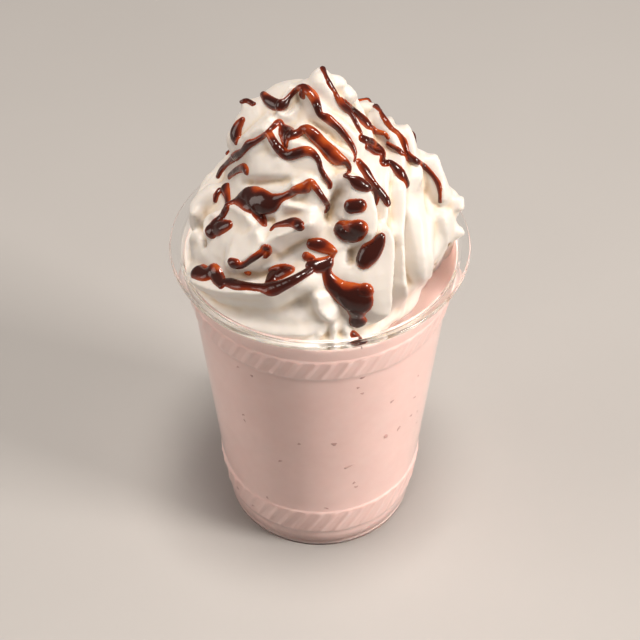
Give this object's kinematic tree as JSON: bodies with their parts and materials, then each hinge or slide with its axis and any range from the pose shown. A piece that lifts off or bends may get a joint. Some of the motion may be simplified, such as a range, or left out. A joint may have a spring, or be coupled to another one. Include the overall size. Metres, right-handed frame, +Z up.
{
  "type": "strawberry milkshake",
  "caption": "Pink milkshake in a clear tapered plastic tumbler with ribbed bands and a rolled lip, topped with a piped swirl of whipped cream and chocolate sauce.",
  "frame": {"origin": "middle of the foot's underside, on the cup's axis", "axes": "+Z up along the cup's axis; +X to the right and -Y to the front, with the open bay beside the cream on the +X -Y side"},
  "size_m": [0.098, 0.098, 0.184],
  "materials": {
    "clear_plastic": "gloss",
    "milkshake": "satin",
    "cream": "satin",
    "chocolate_sauce": "gloss"
  },
  "bodies": {
    "root": {"cup": "clear_plastic", "milkshake": "milkshake", "whipped_cream": "cream"}
  },
  "joints": []
}
